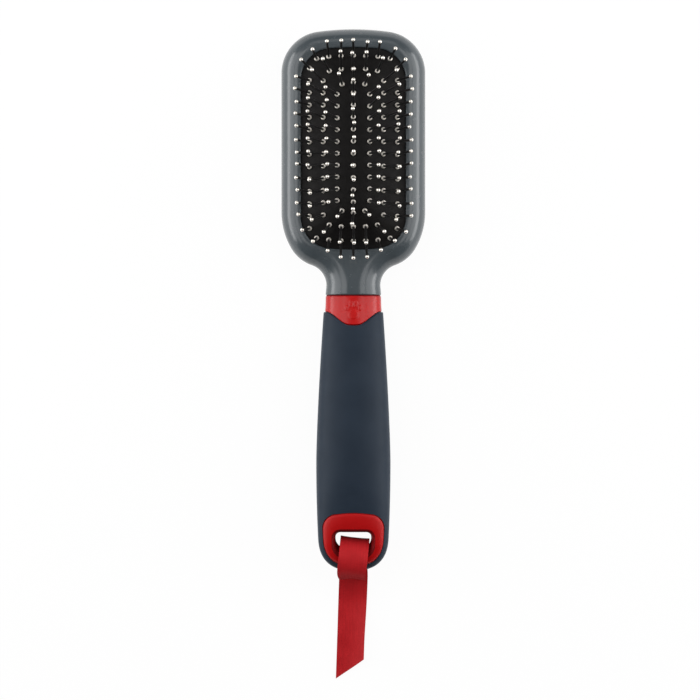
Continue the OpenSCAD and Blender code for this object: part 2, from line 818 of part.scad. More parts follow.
module ribbon_stitching() {
  t = stitch_at / drape_l;
  place = tail_point(t) + tail_normal(t) * (ribbon_t / 2 + thread_t / 2 + tip_fit);
  pitch = ribbon_w / (stitch_count + 1);
  slope = atan2(tail_normal(t).x, tail_normal(t).y);
  color(thread)
    drifted()
      for (i = [1 : stitch_count])
        translate([i * pitch - ribbon_w / 2, -place.x, place.y])
          rotate([slope, 0, 0])
            cube([stitch_l, thread_t, thread_t], center = true);
}

head_shell();
cushion_pad();
shafts(pins_1);  // pins_ring_1
shafts(pins_2);  // pins_ring_2
shafts(pins_3);  // pins_ring_3
shafts(pins_4);  // pins_centre
balls(pins_1);  // tips_ring_1
balls(pins_2);  // tips_ring_2
balls(pins_3);  // tips_ring_3
balls(pins_4);  // tips_centre
seats(pins_1);  // seats_ring_1
seats(pins_2);  // seats_ring_2
seats(pins_3);  // seats_ring_3
seats(pins_4);  // seats_centre
collar();
handle_core();
grip();
eyelet_front();
eyelet_back();
ribbon();
ribbon_stitching();
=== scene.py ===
"""Pin brush: cushioned paddle head, sleeved handle and hanging ribbon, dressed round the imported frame.

Lengths are millimetres, which piece() turns into metres, unless a heading says otherwise. X runs across the
brush, +Y to the head's far end and +Z to the pin tips.
"""
import math
import random

import bmesh
import bpy
import numpy as np
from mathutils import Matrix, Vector


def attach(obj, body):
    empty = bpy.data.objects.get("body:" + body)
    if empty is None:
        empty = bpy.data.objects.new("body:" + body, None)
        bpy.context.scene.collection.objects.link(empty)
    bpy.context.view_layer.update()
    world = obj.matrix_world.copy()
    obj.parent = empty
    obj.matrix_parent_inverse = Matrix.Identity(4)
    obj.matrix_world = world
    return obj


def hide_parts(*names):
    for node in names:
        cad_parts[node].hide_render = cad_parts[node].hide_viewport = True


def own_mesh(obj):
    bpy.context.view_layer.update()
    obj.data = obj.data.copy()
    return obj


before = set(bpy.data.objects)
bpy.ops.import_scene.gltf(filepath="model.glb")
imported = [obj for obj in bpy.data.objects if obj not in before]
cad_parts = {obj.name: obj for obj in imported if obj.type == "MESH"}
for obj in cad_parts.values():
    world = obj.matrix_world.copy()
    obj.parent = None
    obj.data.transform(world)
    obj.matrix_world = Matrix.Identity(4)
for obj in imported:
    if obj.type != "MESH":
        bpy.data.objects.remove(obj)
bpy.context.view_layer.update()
scene = bpy.context.scene
MM = 0.001
WELD = 1e-7
SHARP = 40
SEED = 7
rng = random.Random(SEED)

# Sizes of the part's source that the dressed pieces follow

HEAD_W, HEAD_TIP, HEAD_ARCH_R, HEAD_CORNER = 60, 50.3, 110, 17.5
SHOULDER_R, SHOULDER_EASE_R, SHOULDER_EASE, SHOULDER_AT = 16, 30, 30, 26
HEAD_THICK, HEAD_MID, FRONT_ROUND, BACK_ROUND, BACK_FLAT = 17, 8, 7.4, 14.5, 0.3
NECK_W, NECK_END_W, NECK_FILLET, NECK_START, NECK_END = 22.5, 23.2, 9, 40, 60.6
NECK_T, NECK_LIFT, NECK_ROUND = 16.6, 0.8, 10
PAD_W, PAD_L, PAD_CORNER, PAD_ARCH_R = 43.3, 83.7, 11, 110
PAD_CROWN, PAD_EDGE_DROP, RIDGE_HALF, PAD_GAP = 6.2, 0.8, 1, 0.2
PIN_D, BALL_D, SEAT_D, SEAT_H = 1, 1.6, 2.1, 0.7
HANDLE_END, GRIP_START, BELLY_AT, SWELL, END_ROUND = 175, 67.7, 130, 1.4, 14
GRIP_START_W, BELLY_W, END_W = 24.8, 30.9, 29.4
START_TOP, BELLY_TOP, END_TOP = 18.7, 24, 21.4
START_BOTTOM, BELLY_BOTTOM, END_BOTTOM = 0.5, 0.1, 4.6
COLLAR_STEP, TONGUE, TONGUE_W, TONGUE_FLAT, COLLAR_LAP = 0.55, 5.7, 24.4, 4.1, 2
SECTION_SQUARE, END_SECTION, END_SQUARE, FIT_GAP = 2.2, 3, 2.6, 0.08
EYELET_AT, EYELET_ARCH, EYELET_MARGIN, EYELET_CORNER, EYELET_PROUD = 150.9, 0.5, 2.3, 6, 0.35
HOLE_W, HOLE_L, HOLE_UPPER_R, HOLE_LOWER_R, BAR_L = 14.8, 6.6, 2, 4, 9.4
FLARE_W, SILL, FLARE_DEPTH = 1.6, 2.6, 7
RIBBON_W, LOOP_R, LOOP_OVER, TAIL_SLANT = 12, 8.65, 3.6, 8.7

# Mesh helpers


def mix(a, b, t):
    return a + (b - a) * t


def ease(v, a, b):
    t = np.clip((v - a) / (b - a), 0, 1)
    return t * t * (3 - 2 * t)


def arc(centre, r, start, end, steps, side=1):
    """Points of an arc, each with its outward direction; side is -1 on a hollow arc."""
    a = np.radians(np.linspace(start, end, steps + 1))
    out = np.column_stack([np.cos(a), np.sin(a)])
    return np.column_stack([np.array(centre) + r * out, side * out])


def band(rows, wrap=False):
    """Points and quads of a skin over closed rows of points; wrap joins the last row to the first."""
    count = len(rows[0])
    faces = []
    for k in range(len(rows) if wrap else len(rows) - 1):
        here, there = k * count, (k + 1) % len(rows) * count
        for i in range(count):
            j = (i + 1) % count
            faces.append((here + i, here + j, there + j, there + i))
    return np.vstack(rows), faces


def strip_cap(start, count):
    """Quads that close a ring which is its own mirror image, from side to side."""
    faces = []
    for i in range(count // 2):
        ring = [start + i, start + i + 1, start + (count - i - 1) % count, start + (count - i) % count]
        faces.append(tuple(dict.fromkeys(ring)))
    return [f for f in faces if len(f) > 2]


def strip_cap_open(start, count):
    """Quads over the end of a strip whose two faces run there and back."""
    pairs = [(start + i, start + count - i - 1) for i in range(count // 2)]
    return [(a, b, far_b, far_a) for (a, far_a), (b, far_b) in zip(pairs, pairs[1:])]


def solid(name, points, faces):
    """Object from points in millimetres, welded where they meet, with its faces turned outward."""
    mesh = bpy.data.meshes.new(name)
    mesh.from_pydata((points * MM).tolist(), [], faces)
    bm = bmesh.new()
    bm.from_mesh(mesh)
    bmesh.ops.remove_doubles(bm, verts=bm.verts, dist=WELD)
    bmesh.ops.recalc_face_normals(bm, faces=bm.faces)
    bm.to_mesh(mesh)
    bm.free()
    obj = bpy.data.objects.new(name, mesh)
    scene.collection.objects.link(obj)
    return obj


def shade(mesh, sharp=SHARP):
    """Smooth shading, with edges sharper than an angle left sharp."""
    mesh.shade_smooth()
    mesh.set_sharp_from_angle(angle=math.radians(sharp))


def piece(name, skins, body, material, replaces=(), sharp=SHARP):
    """Makes one riding object from skins, which are pairs of points and faces."""
    points, faces = [], []
    for skin_points, skin_faces in skins:
        start = sum(len(p) for p in points)
        points.append(np.asarray(skin_points, float))
        faces += [tuple(start + i for i in f) for f in skin_faces]
    obj = solid(name, np.vstack(points), faces)
    shade(obj.data, sharp)
    obj.data.materials.append(material)
    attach(obj, body)
    if replaces:
        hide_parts(*replaces)
    return obj


# Materials


def srgb(r, g, b):
    """Colour as a screen shows it, 0 to 255, turned into the linear values that shaders take."""
    lin = [v / 255 / 12.92 if v <= 10 else ((v / 255 + 0.055) / 1.055) ** 2.4 for v in (r, g, b)]
    return (*lin, 1)


class Shader:
    """A Principled material in Object coordinates, with helpers for the patterns on it."""

    def __init__(self, name, **sockets):
        self.material = bpy.data.materials.new(name)
        self.material.use_nodes = True
        self.tree = self.material.node_tree
        self.bsdf = self.tree.nodes["Principled BSDF"]
        self.place = self.tree.nodes.new("ShaderNodeTexCoord")
        for socket, value in sockets.items():
            self.bsdf.inputs[socket.replace("_", " ")].default_value = value

    def node(self, kind, inputs=(), **settings):
        n = self.tree.nodes.new(kind)
        for key, value in settings.items():
            setattr(n, key, value)
        for socket, value in dict(inputs).items():
            if isinstance(value, bpy.types.NodeSocket):
                self.tree.links.new(value, n.inputs[socket])
            else:
                n.inputs[socket].default_value = value
        return n

    def link(self, out, socket):
        self.tree.links.new(out, self.bsdf.inputs[socket])

    def noise(self, size, detail=3, stretch=(1, 1, 1), coords="Object"):
        """Noise whose patches are about size millimetres wide."""
        where = self.node("ShaderNodeMapping", {"Vector": self.place.outputs[coords], "Scale": stretch})
        inputs = {"Vector": where.outputs["Vector"], "Scale": 1 / (size * MM), "Detail": detail}
        return self.node("ShaderNodeTexNoise", inputs).outputs["Fac"]

    def between(self, factor, low, high, start=0.3, end=0.7):
        """Number from low to high as the factor goes from start to end."""
        inputs = {"Value": factor, "From Min": start, "From Max": end, "To Min": low, "To Max": high}
        return self.node("ShaderNodeMapRange", inputs).outputs["Result"]

    def blend(self, factor, first, second):
        """Colour between two colours."""
        n = self.node("ShaderNodeMix", data_type="RGBA")
        self.tree.links.new(factor, n.inputs["Factor"])
        for key, value in (("A", first), ("B", second)):
            socket = next(s for s in n.inputs if s.name == key and s.type == "RGBA")
            if isinstance(value, bpy.types.NodeSocket):
                self.tree.links.new(value, socket)
            else:
                socket.default_value = value
        return next(s for s in n.outputs if s.type == "RGBA")

    def bump(self, height, depth):
        """Relief of the given depth in millimetres."""
        inputs = {"Height": height, "Distance": depth * MM, "Strength": 1.0}
        self.link(self.node("ShaderNodeBump", inputs).outputs["Normal"], "Normal")


def moulded(name, dark, light, patch, rough, grain, depth, **sockets):
    """Moulded plastic, rubber or metal: close colours in patches, varied gloss and a fine grain."""
    s = Shader(name, **sockets)
    s.link(s.blend(s.between(s.noise(patch), 0, 1), dark, light), "Base Color")
    s.link(s.between(s.noise(patch / 4, detail=5), *rough), "Roughness")
    s.bump(s.noise(grain, detail=2), depth)
    return s.material


def satin(wave_size, thread_size, cloud_size, depth):
    """Woven ribbon: fine ribs across, threads along, and a soft sheen."""
    s = Shader("ribbon_satin", Specular_IOR_Level=0.1, Sheen_Weight=0.03, Sheen_Tint=srgb(240, 120, 120))
    wave = {
        "Vector": s.place.outputs["UV"], "Scale": 1 / (wave_size * MM),
        "Distortion": 0.6, "Detail": 2.0, "Detail Scale": 2.0,
    }
    rib = s.node("ShaderNodeTexWave", wave, bands_direction="Y").outputs["Fac"]
    thread = s.noise(thread_size, detail=2, stretch=(1, 0.06, 1), coords="UV")
    cloud = s.noise(cloud_size, coords="UV")
    base = s.blend(s.between(cloud, 0, 1), srgb(172, 28, 33), srgb(182, 33, 38))
    s.link(s.blend(s.between(thread, 0, 0.5), base, srgb(152, 23, 28)), "Base Color")
    s.link(s.between(thread, 0.42, 0.58), "Roughness")
    s.bump(s.node("ShaderNodeMath", {0: rib, 1: thread}, operation="ADD").outputs["Value"], depth)
    return s.material


HEAD_GREY = moulded(
    "head_grey", srgb(63, 70, 74), srgb(69, 75, 79),
    patch=14, rough=(0.24, 0.28), grain=1.5, depth=0.001, Coat_Weight=0.2,
)
RUBBER = moulded(
    "rubber_black", srgb(14, 12, 12), srgb(19, 17, 16),
    patch=6, rough=(0.55, 0.65), grain=0.25, depth=0.006, Specular_IOR_Level=0.14,
)
PIN_BLACK = moulded(
    "pin_black", srgb(16, 15, 16), srgb(24, 23, 24),
    patch=2, rough=(0.4, 0.5), grain=0.3, depth=0.001,
)
STEEL = moulded(
    "bright_steel", srgb(232, 226, 216), srgb(244, 239, 231),
    patch=2, rough=(0.26, 0.34), grain=0.4, depth=0.001, Metallic=1.0,
)
CUP_STEEL = moulded(
    "cup_steel", srgb(236, 230, 220), srgb(246, 241, 233),
    patch=2, rough=(0.5, 0.58), grain=0.4, depth=0.001, Metallic=1.0,
)
RED = moulded(
    "red_plastic", srgb(170, 15, 15), srgb(178, 19, 18),
    patch=9, rough=(0.24, 0.28), grain=1.5, depth=0.001, Specular_IOR_Level=0.3,
)
EYELET_RED = moulded(
    "eyelet_red", srgb(165, 11, 13), srgb(173, 14, 16),
    patch=9, rough=(0.38, 0.44), grain=1.5, depth=0.001, Specular_IOR_Level=0.15,
)
# Darker red painted on the collar's seam slot and scalloped edge and on the eyelets' inner walls: painted
# shade where these recesses fall into shadow
RED_PAINTED_SHADE = moulded(
    "red_painted_shade", srgb(104, 6, 10), srgb(116, 8, 12),
    patch=9, rough=(0.5, 0.6), grain=1.5, depth=0.001, Specular_IOR_Level=0.1,
)
SOFT_GRIP = moulded(
    "soft_grip", srgb(30, 40, 52), srgb(35, 45, 57),
    patch=10, rough=(0.48, 0.56), grain=0.12, depth=0.004, Specular_IOR_Level=0.14,
    Sheen_Weight=0.3, Sheen_Roughness=0.3, Sheen_Tint=srgb(200, 214, 226),
)
CORE_NYLON = moulded(
    "core_nylon", srgb(52, 60, 68), srgb(60, 68, 76),
    patch=8, rough=(0.4, 0.5), grain=0.4, depth=0.003,
)
SATIN = satin(wave_size=2.2, thread_size=0.6, cloud_size=5, depth=0.015)
SEWING_THREAD = moulded(
    "sewing_thread", srgb(140, 22, 27), srgb(165, 32, 38),
    patch=0.5, rough=(0.5, 0.7), grain=0.12, depth=0.03,
)

# Head

SEAM_R, LIP_R = 0.3, 0.7
OPENING_FLOOR = 13.6
NECK_STRIP = 2
LEAST_X = 0.02
SEAM_TURNS = np.radians([0, 30, 60, 90])
LIP_TURNS = np.radians([90, 70, 50, 30, 10, 0])
ARCH_STEPS, CORNER_STEPS, SIDE_STEPS, EASE_STEPS, FILLET_STEPS, NECK_STEPS = 10, 28, 16, 14, 20, 6
HEAD_ROWS = 44
RIM_SHARES = (0, 0.25, 0.5, 0.75)
TRACK_POINTS, TRACK_STRETCH, TRACK_END = 2000, 0.06, 0.996


def arched_quarter(half_w, tip, arch_r, corner):
    """Outline from the tip of an arched end to its side, with outward directions."""
    drop = math.sqrt((arch_r - corner) ** 2 - (half_w - corner) ** 2)
    a = math.degrees(math.atan2(drop, half_w - corner))
    arch = arc((0, tip - arch_r), arch_r, 90, a, ARCH_STEPS)
    return np.vstack([arch, arc((half_w - corner, tip - arch_r + drop), corner, a, 0, CORNER_STEPS)[1:]])


def head_outline():
    """Right half of the head's outline, from its tip to the end of the neck."""
    ease_turn = math.radians(SHOULDER_EASE)
    turning = np.array([HEAD_W / 2 - SHOULDER_EASE_R, -SHOULDER_AT])
    heading = np.array([math.cos(ease_turn), -math.sin(ease_turn)])
    shoulder = turning + (SHOULDER_EASE_R - SHOULDER_R) * heading
    dx = NECK_W / 2 + NECK_FILLET - shoulder[0]
    dy = math.sqrt((SHOULDER_R + NECK_FILLET) ** 2 - dx**2)
    turn = math.degrees(math.atan2(dy, dx))
    quarter = arched_quarter(HEAD_W / 2, HEAD_TIP, HEAD_ARCH_R, HEAD_CORNER)
    side = [[HEAD_W / 2, y, 1, 0] for y in np.linspace(quarter[-1, 1], -SHOULDER_AT, SIDE_STEPS)[1:-1]]
    fillet = arc(shoulder + [dx, -dy], NECK_FILLET, 180 - turn, 180, FILLET_STEPS, -1)
    straight = np.linspace(fillet[-1, 1], SEAM_R - NECK_END, NECK_STEPS)[1:-1]
    run = np.concatenate([straight, SEAM_R - NECK_END - SEAM_R * np.sin(SEAM_TURNS)])
    width = np.interp(-run, [-fillet[-1, 1], NECK_END], [NECK_W / 2, NECK_END_W / 2])
    neck = np.column_stack([width, run, np.ones_like(run), np.zeros_like(run)])
    corner = arc(shoulder, SHOULDER_R, -SHOULDER_EASE, -turn, FILLET_STEPS)[1:]
    easing = arc(turning, SHOULDER_EASE_R, 0, -SHOULDER_EASE, EASE_STEPS)
    return np.vstack([quarter, side, easing, corner, fillet[1:], neck])


def head_top(y):
    return mix(HEAD_THICK, NECK_LIFT + NECK_T, ease(-y, NECK_START, NECK_END))


def head_half(outline, degrees):
    """Right half of a ring of the head's skin, at a turn from its back to its front."""
    x, y, nx, ny = outline.T
    a = math.radians(degrees)
    t = ease(-y, NECK_START, NECK_END)
    middle = mix(HEAD_MID, NECK_LIFT + NECK_T / 2, t)
    reach = middle - mix(-BACK_FLAT, NECK_LIFT, t) if a < 0 else head_top(y) - middle
    inset = mix(BACK_ROUND if a < 0 else FRONT_ROUND, NECK_ROUND, t) * (1 - math.cos(a))
    px, py, pz = x - inset * nx, y - inset * ny, middle + reach * math.sin(a)
    into_seam = np.clip((SEAM_R - NECK_END - y) / SEAM_R, 0, 1)
    shrink = 1 - SEAM_R * (1 - np.sqrt(1 - into_seam**2)) / (NECK_T / 2)
    px[1:] = np.maximum(px[1:], LEAST_X)
    return np.column_stack([px * shrink, py, np.maximum(0, middle + (pz - middle) * shrink)])


def mirrored(half):
    """Closed ring from its right half, whose first point lies on the middle line."""
    return np.vstack([half, half[:0:-1] * [-1, 1, 1]])


def pad_half(q, half_w, half_l, r, z):
    """Points of the opening's right half, arched at its ends; q runs from 0 at the far end to 1."""
    straight, turn, side = PAD_W / 2 - PAD_CORNER, PAD_CORNER * math.pi / 2, PAD_L - 2 * PAD_CORNER
    stops = np.cumsum([0, straight, turn, side, turn, straight])
    s = np.asarray(q) * stops[-1]
    a = np.interp(s, stops, np.radians([90, 90, 0, 0, -90, -90]))
    edge_x = np.interp(s, stops, [0, half_w - r, half_w - r, half_w - r, half_w - r, 0])
    edge_y = np.interp(s, stops, [half_l - r, half_l - r, half_l - r, r - half_l, r - half_l, r - half_l])
    x, y = edge_x + r * np.cos(a), edge_y + r * np.sin(a)
    return np.column_stack([x, y - np.sign(y) * x**2 / (2 * PAD_ARCH_R), np.broadcast_to(z, x.shape)])


def build_head():
    outline = head_outline()
    flat_turn = -math.degrees(math.asin(HEAD_MID / (HEAD_MID + BACK_FLAT)))
    turns = [-90, *np.linspace(flat_turn, 90, HEAD_ROWS)]
    halves = [head_half(outline, a) for a in turns]
    rings = [mirrored(h) for h in halves]
    points, faces = band(rings)
    count = len(rings[0])
    last = len(points) - count
    neck_from = next(i for i, p in enumerate(halves[-1]) if p[1] < 0 and p[0] <= NECK_STRIP)
    for i in range(neck_from, len(outline) - 1):
        faces.append((last + i, last + i + 1, last + count - i - 1, last + count - i))
    rim = halves[-1][:neck_from + 1]
    track = np.linspace(0, 1, TRACK_POINTS)
    opening = pad_half(track, PAD_W / 2, PAD_L / 2, PAD_CORNER, HEAD_THICK)
    nearest = [track[np.argmin(np.hypot(*(opening[:, :2] - p[:2]).T))] for p in rim]
    q = np.maximum.accumulate(nearest) + np.linspace(0, TRACK_STRETCH, len(rim))
    q *= TRACK_END / q[-1]
    lip = pad_half(q, PAD_W / 2 + LIP_R, PAD_L / 2 + LIP_R, PAD_CORNER + LIP_R, HEAD_THICK)
    front = [mix(rim, lip, t) for t in RIM_SHARES]
    for a in LIP_TURNS:
        out = LIP_R * (1 - math.cos(a))
        z = HEAD_THICK - LIP_R * (1 - math.sin(a))
        front.append(pad_half(q, PAD_W / 2 + out, PAD_L / 2 + out, PAD_CORNER + out, z))
    front.append(pad_half(q, PAD_W / 2, PAD_L / 2, PAD_CORNER, OPENING_FLOOR))
    front_points, front_faces = band([mirrored(h) for h in front])
    front_count = 2 * len(rim) - 1
    skins = [
        (points, faces + strip_cap(0, count)),
        (front_points, front_faces + strip_cap(len(front_points) - front_count, front_count)),
    ]
    piece("head_body", skins, "brush", HEAD_GREY, ["head_shell"])


build_head()

# Cushion

RIDGE_IN = PAD_W / 2 - PAD_GAP - RIDGE_HALF
PAD_EDGE_Z = HEAD_THICK - PAD_EDGE_DROP
DIMPLE_DEPTH, DIMPLE_R = 0.22, 1.9
PAD_POINTS = 150
EDGE_ROWS = (0, 0.06, 0.2, 0.45)
DOME_FROM, DOME_ROWS = 0.8, 64
SEAT_REACH, BALL_REACH = 1.4 * SEAT_D, 1.6 * BALL_D


def clusters(node, reach):
    """Middles of the small solids of a node, which stand more than reach apart."""
    points = np.array([v.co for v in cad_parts[node].data.vertices]) / MM
    middles = []
    while len(points):
        near = np.linalg.norm(points - points[0], axis=1) < reach
        middles.append((points[near].min(axis=0) + points[near].max(axis=0)) / 2)
        points = points[~near]
    return np.array(middles)


RINGS = ("centre", "ring_3", "ring_2", "ring_1")
feet = {ring: clusters(f"seats_{ring}", SEAT_REACH) for ring in RINGS}
tips = {ring: clusters(f"tips_{ring}", BALL_REACH) for ring in RINGS}


def dome(s):
    u = s / RIDGE_IN
    return PAD_EDGE_Z + PAD_CROWN * (np.sin(math.pi / 2 * u) + (1 - np.cos(math.pi * u)) / 2) / 2


def build_cushion():
    q = np.linspace(0, 1, PAD_POINTS)
    rows = []
    for s in np.concatenate([EDGE_ROWS, np.linspace(DOME_FROM, RIDGE_IN, DOME_ROWS)]):
        r = mix(PAD_CORNER - PAD_GAP, RIDGE_HALF, s / RIDGE_IN)
        half = pad_half(q, PAD_W / 2 - PAD_GAP - s, PAD_L / 2 - PAD_GAP - s, r, dome(s))
        rows.append(np.vstack([half, half[-2:0:-1] * [-1, 1, 1]]))
    base = rows[0].copy()
    base[:, 2] = OPENING_FLOOR
    points, faces = band([base, *rows])
    for foot in np.vstack(list(feet.values())):
        away = np.hypot(*(points[:, :2] - foot[:2]).T)
        dimple = DIMPLE_DEPTH * np.exp(-((away / DIMPLE_R) ** 2))
        points[:, 2] -= np.where(points[:, 2] > PAD_EDGE_Z, dimple, 0)
    count = len(base)
    faces += strip_cap(0, count) + strip_cap(len(points) - count, count)
    cushion = piece("cushion_dome", [(points, faces)], "brush", RUBBER, ["cushion_pad"])
    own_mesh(cushion)


build_cushion()

# Pins

SHAFT_SIDES, BALL_SIDES, CUP_SIDES = 14, 18, 20
SHAFT_FOOT = 0.5
TAPER_FROM, TAPER = 0.3, 0.97
BALL_ROWS, BALL_END, BALL_DROP = 11, 179, 0.02
# Steps of a cup's wall in from its rim and up, and of its mouth out from the bore and down
CUP_WALL = ((0.12, 0.0), (0.0, 0.12), (0.03, 0.26), (0.2, 0.46))
CUP_MOUTH = ((0.28, 0.06), (0.1, 0.0), (0.0, 0.1))
# Lean of the pins: amounts, and the shares of a ring's half sizes over which they come or go
LEAN_SPREAD = 0.016
LONG_LEAN, LONG_FADE = 0.0058, (0.7, 1)
CORNER_LESS, CORNER_X, CORNER_Y = 0.34, (0.5, 0.95), (0.78, 0.95)
NEAR_MORE, NEAR_FALL, INNER_MORE = 0.6, 2, 0.18
FAR_LESS, END_ROW = 0.15, (0.85, 1)
SIDE_LESS, SIDE_X, LOWER_Y = 0.2, (0.5, 0.9), (0, 0.9)


def turned(profile, foot, axis, sides):
    """Closed skin of a profile of radius and height, turned round an axis from a foot."""
    axis = Vector(axis).normalized()
    u = axis.orthogonal().normalized()
    v = axis.cross(u)
    a = np.linspace(0, 2 * math.pi, sides, endpoint=False)
    ring = np.outer(np.cos(a), u) + np.outer(np.sin(a), v)
    points, faces = band([foot + r * ring + h * np.array(axis) for r, h in profile])
    last = len(points) - sides
    return points, faces + [tuple(range(sides)), tuple(range(last, last + sides))]


def ball_profile(length):
    """Ball on the end of a pin whose shaft is as long as length."""
    start = math.degrees(math.asin(PIN_D / BALL_D))
    a = np.radians(np.linspace(start, BALL_END, BALL_ROWS))
    return [(BALL_D / 2 * math.sin(t), length - BALL_D / 2 * math.cos(t)) for t in a]


def cup_profile():
    """Domed collar round a pin's foot, with a rolled edge."""
    bore = PIN_D / 2
    wall = [(SEAT_D / 2 - inset, height) for inset, height in CUP_WALL]
    mouth = [(bore + out, SEAT_H - drop) for out, drop in CUP_MOUTH]
    return [*wall, *mouth, (bore, 0.0)]


def lean_share(place, ring):
    """Share of its square lean that a pin keeps.

    It is less at the corners, in the far row and at the lower left, and more in the middle of the near row.
    """
    x, y = place[:2] / np.abs(feet[ring][:, :2]).max(axis=0).clip(1)
    corner = ease(abs(x), *CORNER_X) * ease(abs(y), *CORNER_Y)
    near = NEAR_MORE - NEAR_FALL * x * x if ring == "ring_1" else INNER_MORE
    ends = (1 - corner) * (near * ease(-y, *END_ROW) - FAR_LESS * ease(y, *END_ROW))
    if ring == "ring_3":
        ends -= SIDE_LESS * ease(x, *SIDE_X)
    lower_left = SIDE_LESS * ease(-y, *LOWER_Y) * ease(-x, *SIDE_X) * (1 - corner)
    return 1 - CORNER_LESS * corner + ends - lower_left


def build_pins(ring):
    farthest = np.abs(feet[ring][:, 1]).max()
    shafts, balls, cups = [], [], []
    for foot, tip in zip(feet[ring], tips[ring]):
        reach = np.linalg.norm(tip - foot)
        axis = (tip - foot) / reach
        if ring != "centre":
            axis[:2] *= lean_share(foot, ring)
        if ring in ("ring_2", "ring_3"):
            axis[1] += LONG_LEAN * foot[1] * (1 - ease(abs(foot[1]) / farthest, *LONG_FADE))
        nudge = np.array([rng.gauss(0, LEAN_SPREAD), rng.gauss(0, LEAN_SPREAD), 0])
        axis = (axis + nudge) / np.linalg.norm(axis + nudge)
        start = foot - axis * SEAT_H / 2
        length = reach + SEAT_H / 2 - BALL_DROP
        r = PIN_D / 2
        shaft = [(r, -SHAFT_FOOT), (r, TAPER_FROM * length), (r * TAPER, length - BALL_D / 4)]
        shafts.append(turned(shaft, start, axis, SHAFT_SIDES))
        balls.append(turned(ball_profile(length), start, axis, BALL_SIDES))
        cups.append(turned(cup_profile(), start, axis, CUP_SIDES))
    piece(f"pin_shafts_{ring}", shafts, ring, PIN_BLACK, [f"pins_{ring}"])
    piece(f"pin_balls_{ring}", balls, ring, STEEL, [f"tips_{ring}"], sharp=60)
    piece(f"pin_cups_{ring}", cups, ring, CUP_STEEL, [f"seats_{ring}"], sharp=50)


for ring_name in RINGS:
    build_pins(ring_name)

# Handle

END_FROM = HANDLE_END - END_ROUND
COLLAR_END = GRIP_START + TONGUE + COLLAR_LAP
SECTION_POINTS = 256
NECK_SECTION = np.array([NECK_END_W / 2, NECK_LIFT + NECK_T / 2, NECK_T / 2])
TONGUE_POINT = 0.2


def bow(d, start, belly, end):
    """Value that bows from the grip's start through its belly to its end."""
    before = belly + (start - belly) * np.maximum(0, (BELLY_AT - d) / (BELLY_AT - GRIP_START)) ** SWELL
    after = belly + (end - belly) * ((d - BELLY_AT) / (END_FROM - BELLY_AT)) ** 2
    return np.where(d < BELLY_AT, before, after)


def handle_size(d, grow=0.0):
    """Half width, middle height and half thickness of the handle at distances d, grown outward."""
    d = np.asarray(d, float)
    top, bottom = bow(d, START_TOP, BELLY_TOP, END_TOP), bow(d, START_BOTTOM, BELLY_BOTTOM, END_BOTTOM)
    t = np.clip((d - END_FROM) / (END_ROUND + grow), 0, 1)
    taper = (1 - t**END_SQUARE) ** (1 / END_SQUARE)
    width = bow(d, GRIP_START_W, BELLY_W, END_W) / 2 + grow
    return np.array([width * taper, (top + bottom) / 2, ((top - bottom) / 2 + grow) * taper])


def collar_size(d, grow=0.0):
    t = np.clip((d - NECK_END) / (GRIP_START - NECK_END), 0, 1)
    first = NECK_SECTION + np.array([grow, 0, grow])
    size = handle_size(d, grow - COLLAR_STEP)
    return np.array([mix(first[i], size[i], t) for i in range(3)])


def power(v, p):
    return np.sign(v) * np.abs(v) ** p


SECTION_TURN = np.linspace(0, 2 * math.pi, SECTION_POINTS, endpoint=False)
START_X = power(np.sin(SECTION_TURN), 2 / SECTION_SQUARE)


def squareness(d):
    return mix(SECTION_SQUARE, END_SECTION, ease(d, BELLY_AT, END_FROM))


def section(d, size):
    """Ring of the handle; d and the sizes may change round the ring."""
    d = np.broadcast_to(d, SECTION_TURN.shape)
    x, z = (power(f(SECTION_TURN), 2 / squareness(d)) for f in (np.sin, np.cos))
    return np.column_stack([size[0] * x, -d, size[1] + size[2] * z])


def tongue_rise(x):
    """How far the collar's tongue dips into the grip at a distance from the middle line."""
    blunt = ease(TONGUE_W / 2 - np.abs(x), 0, (TONGUE_W - TONGUE_FLAT) / 2)
    pointed = ease(TONGUE_W / 2 - np.abs(x), 0, TONGUE_W / 2)
    return TONGUE * mix(blunt, pointed, TONGUE_POINT)


# Collar

# Pads of the paw: place across and along, half width and half length
PAW_PAD = (0.0, 68.8, 2.5, 2.1)
PAW_TOES = ((1.05, 64.4, 0.9, 1.4), (2.9, 66.0, 0.85, 1.25))
PAW = [PAW_PAD, *PAW_TOES, *((-x, *rest) for x, *rest in PAW_TOES)]
PAW_HEIGHT, PAW_EDGE = 0.2, 0.72
SLOT_W, SLOT_DEPTH = 0.45, 0.6
DIP, DIP_L, SIDE_DIP = 0.7, 0.65, 0.35
# Reach of the painted shade back from the grip's edge onto the collar, and a margin for face centres
PAINTED_SHADE_L, FACE_MARGIN = 0.4, 0.02
COLLAR_UNDER, COLLAR_ROWS = 3, 110
# From 0 on the sides of the handle to 1 on its front and back
FACING = ease(np.abs(np.cos(SECTION_TURN)), 0.1, 0.5)


def sunk_ring(ring, size, depth):
    """Ring of the handle drawn in by a depth that may change round it."""
    half_w, middle, half_t = size
    x, z = ring[:, 0] * (1 - depth / half_w), middle + (ring[:, 2] - middle) * (1 - depth / half_t)
    return np.column_stack([x, ring[:, 1], z])


def relief(ring):
    """Height of the moulded paw under each point of a ring."""
    rise = np.zeros(len(ring))
    for x, d, half_w, half_l in PAW:
        away = np.hypot((ring[:, 0] - x) / half_w, (-ring[:, 1] - d) / half_l)
        rise = np.maximum(rise, PAW_HEIGHT * (1 - ease(away, PAW_EDGE, 1.0)))
    return np.where(ring[:, 2] > NECK_SECTION[1], rise, 0)


